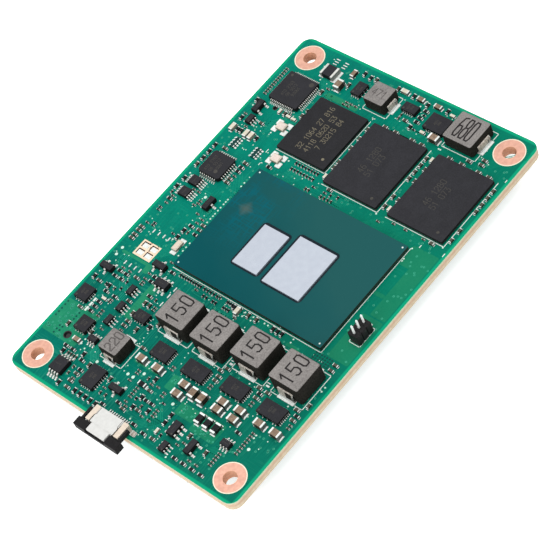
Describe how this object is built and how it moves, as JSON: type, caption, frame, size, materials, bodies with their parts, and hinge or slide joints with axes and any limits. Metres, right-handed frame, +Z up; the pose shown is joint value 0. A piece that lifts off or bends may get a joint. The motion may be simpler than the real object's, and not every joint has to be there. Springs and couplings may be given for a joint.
{
  "type": "system on module",
  "caption": "Small computer-on-module: green board with bare-die processor, memory, chokes and power chips on top, flat cable connector at one end, plug beneath.",
  "frame": {"origin": "centre of the circuit board's underside", "axes": "+X along the board's length towards the memory chips, +Y towards the long edge over the underside plug, +Z up out of the components' side"},
  "size_m": [0.0873, 0.055, 0.0109],
  "materials": {
    "solder_mask": "glass-fibre laminate under glossy green solder mask",
    "package_laminate": "satin teal package laminate",
    "silicon": "polished grey silicon",
    "moulded_black": "matt moulding compound",
    "leaded_black": "matt moulding compound with tinned leads",
    "crystal_lid": "satin plated lid on a ceramic tray",
    "choke_grey": "pressed iron powder, grey top, tinned strips",
    "header_black": "matt",
    "pin_metal": "tinned",
    "cable_housing": "satin natural nylon",
    "cable_slider": "matt",
    "plug_black": "matt liquid-crystal polymer"
  },
  "bodies": {
    "module": {"circuit_board": "solder_mask", "processor_substrate": "package_laminate", "processor_die": "silicon", "companion_die": "silicon", "storage_chip": "moulded_black", "memory_chip_1": "moulded_black", "memory_chip_2": "moulded_black", "power_stage_1": "moulded_black", "power_stage_2": "moulded_black", "power_stage_3": "moulded_black", "power_stage_4": "moulded_black", "standby_regulator": "moulded_black", "core_regulator": "moulded_black", "memory_regulator": "moulded_black", "bus_regulator": "moulded_black", "input_regulator": "moulded_black", "load_switch_1": "moulded_black", "load_switch_2": "moulded_black", "level_shifter_1": "leaded_black", "level_shifter_2": "leaded_black", "sensor_chip": "leaded_black", "transistor_1": "leaded_black", "transistor_2": "leaded_black", "transistor_3": "leaded_black", "transistor_4": "leaded_black", "transistor_5": "leaded_black", "transistor_6": "leaded_black", "gate_chip_1": "leaded_black", "gate_chip_2": "leaded_black", "gate_chip_3": "leaded_black", "gate_chip_4": "leaded_black", "gate_chip_5": "leaded_black", "gate_chip_6": "leaded_black", "gate_chip_7": "leaded_black", "supervisor_chip_1": "leaded_black", "supervisor_chip_2": "leaded_black", "network_controller": "leaded_black", "board_controller": "leaded_black", "clamp_diode": "leaded_black", "network_crystal": "crystal_lid", "processor_crystal": "crystal_lid", "clock_crystal": "crystal_lid", "power_choke_1": "choke_grey", "power_choke_2": "choke_grey", "power_choke_3": "choke_grey", "power_choke_4": "choke_grey", "standby_choke": "choke_grey", "bus_choke": "choke_grey", "memory_choke": "choke_grey", "header_carrier": "header_black", "header_pin_1": "pin_metal", "header_pin_2": "pin_metal", "header_pin_3": "pin_metal", "cable_connector_housing": "cable_housing", "cable_connector_tab_1": "pin_metal", "cable_connector_tab_2": "pin_metal", "module_plug": "plug_black"},
    "cable_slider": {"cable_connector_slider": "cable_slider"}
  },
  "joints": [
    {"name": "cable_slider_pull", "type": "slide", "parent": "module", "child": "cable_slider", "axis": [-1, 0, 0], "range_m": [0, 0.001]}
  ]
}
